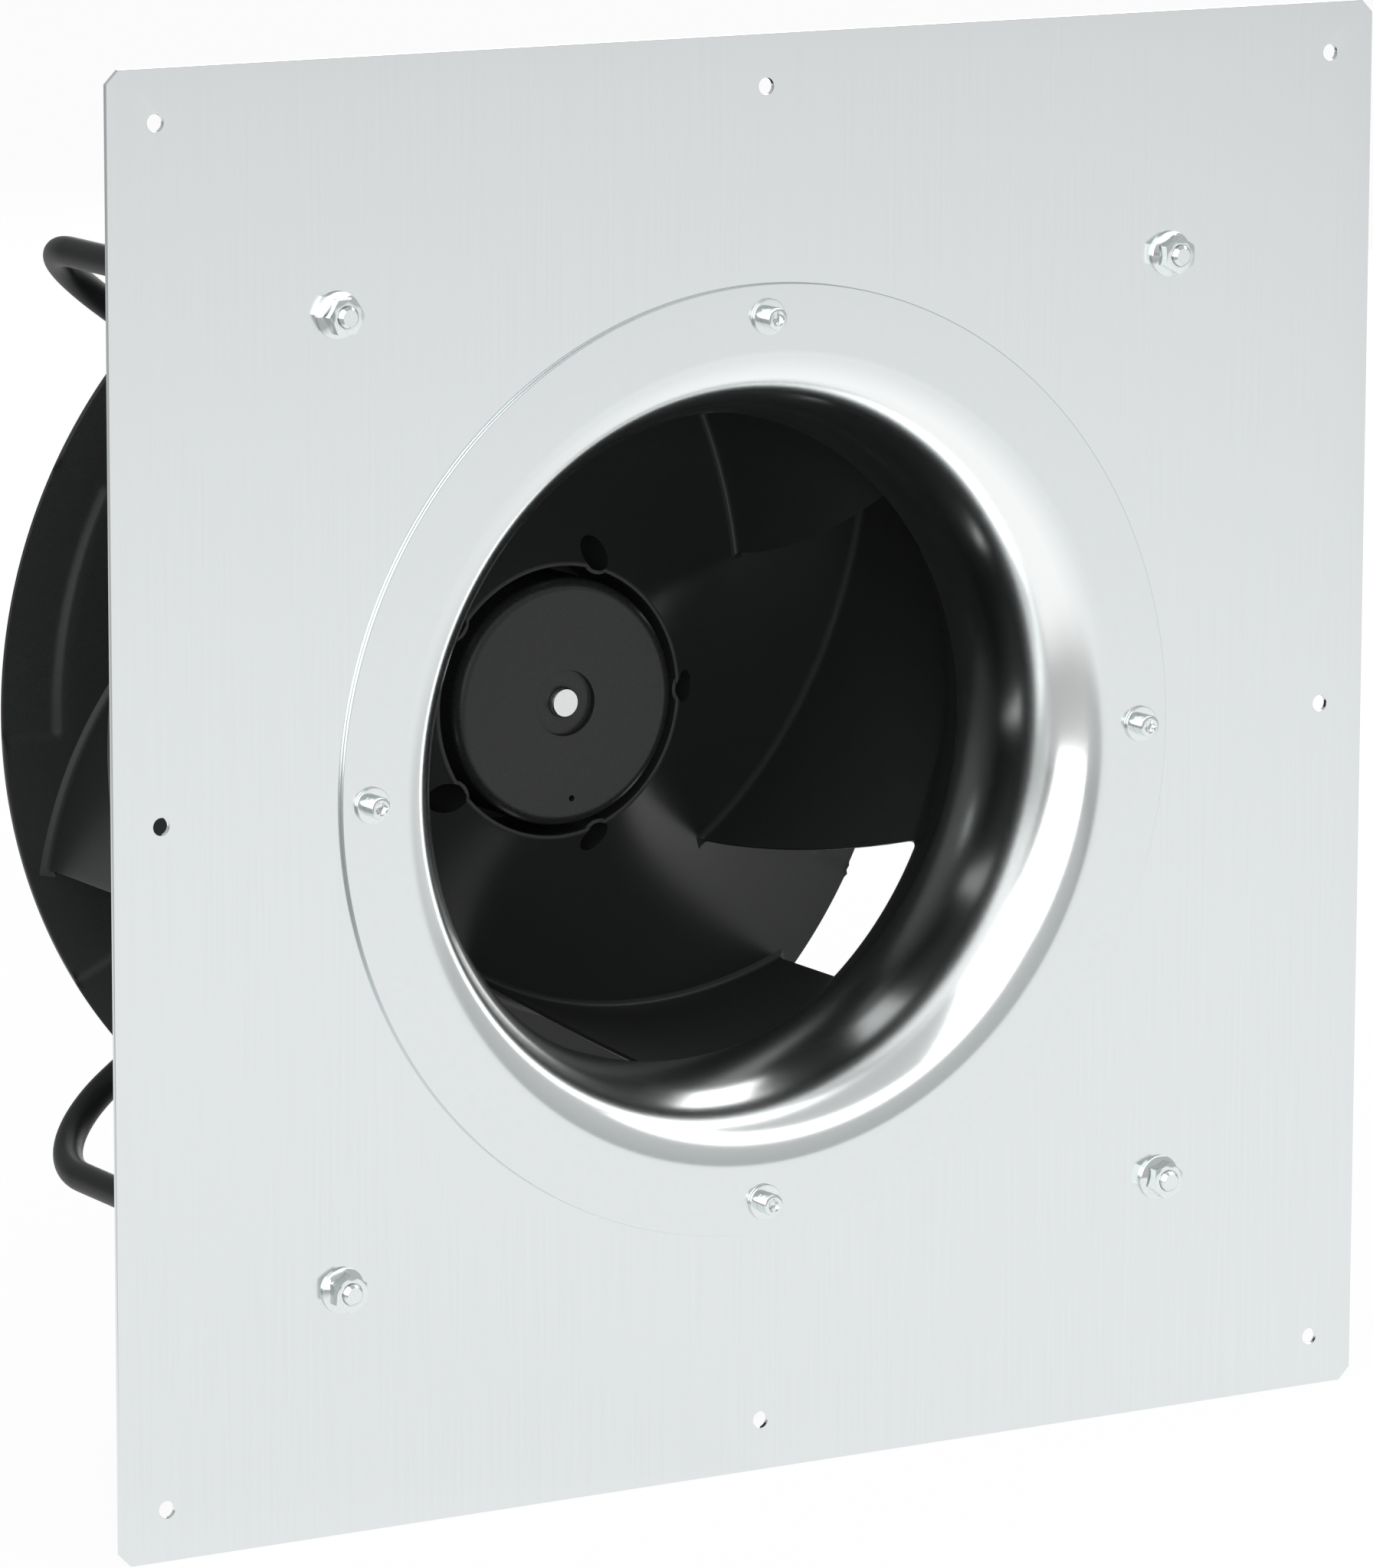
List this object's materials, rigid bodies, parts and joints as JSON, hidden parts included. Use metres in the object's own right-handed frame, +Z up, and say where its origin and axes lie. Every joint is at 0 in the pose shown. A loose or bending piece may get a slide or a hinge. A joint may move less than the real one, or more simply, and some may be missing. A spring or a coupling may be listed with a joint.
{
  "type": "plug fan",
  "caption": "Square panel plate with a bell-mouth inlet ring, a bent round-bar frame, and a backward-curved impeller on an external-rotor motor.",
  "frame": {"origin": "centre of the square plate on its front face, on the fan axis", "axes": "+Y along the fan axis from the inlet to the motor, +Z up, +X to the right seen from the inlet"},
  "size_m": [0.56, 0.3178, 0.56],
  "materials": {
    "galvanised_sheet": "semi-gloss galvanised sheet",
    "galvanised_ring": "glossy spun galvanised sheet",
    "zinc_plated_steel": "bright zinc plating",
    "black_painted_bar": "satin black paint",
    "cast_aluminium": "die-cast, matt",
    "lamination_steel": "stamped laminations",
    "copper_winding": "enamelled wire",
    "bearing_steel": "ground",
    "spring_steel": "phosphated",
    "shaft_steel": "turned",
    "black_painted_rotor": "satin black coating",
    "ferrite": "sintered, matt",
    "black_polyamide": "moulded, semi-gloss",
    "board_laminate": "solder mask",
    "spacer_brass": "turned",
    "capacitor_sleeve": "shrink sleeve",
    "terminal_plastic": "moulded",
    "black_rubber": "moulded",
    "black_gland_plastic": "moulded"
  },
  "bodies": {
    "frame": {"support_plate": "galvanised_sheet", "inlet_ring": "galvanised_ring", "ring_screws": "zinc_plated_steel", "ring_washers": "zinc_plated_steel", "ring_nuts": "zinc_plated_steel", "frame_bar_left": "black_painted_bar", "frame_bar_right": "black_painted_bar", "frame_nuts": "zinc_plated_steel", "frame_welds": "black_painted_bar", "motor_plate": "black_painted_bar", "motor_screws": "zinc_plated_steel", "motor_nuts": "zinc_plated_steel", "stator_flange": "cast_aluminium", "stator_core": "lamination_steel", "stator_windings": "copper_winding", "front_bearing_outer": "bearing_steel", "front_bearing_balls": "bearing_steel", "rear_bearing_outer": "bearing_steel", "rear_bearing_balls": "bearing_steel", "bearing_circlip": "spring_steel", "preload_washer": "spring_steel", "electronics_housing": "cast_aluminium", "circuit_board": "board_laminate", "board_spacers": "spacer_brass", "board_screws": "zinc_plated_steel", "capacitors": "capacitor_sleeve", "choke_coil": "copper_winding", "terminal_block": "terminal_plastic", "cover_gasket": "black_rubber", "electronics_cover": "cast_aluminium", "cover_screws": "zinc_plated_steel", "gland_body": "black_gland_plastic", "gland_locknut": "black_gland_plastic", "gland_seal": "black_rubber", "gland_cap": "black_gland_plastic"},
    "rotor": {"motor_shaft": "shaft_steel", "front_bearing_inner": "bearing_steel", "rear_bearing_inner": "bearing_steel", "shaft_circlip": "spring_steel", "rotor_cup": "black_painted_rotor", "rotor_magnets": "ferrite", "impeller_back_plate": "black_polyamide", "impeller_blades": "black_polyamide", "impeller_shroud": "black_polyamide", "impeller_screws": "zinc_plated_steel"}
  },
  "joints": [
    {"name": "impeller_spin", "type": "hinge", "parent": "frame", "child": "rotor", "pos_m": [0, 0.175, 0], "axis": [0, 1, 0], "continuous": true}
  ]
}
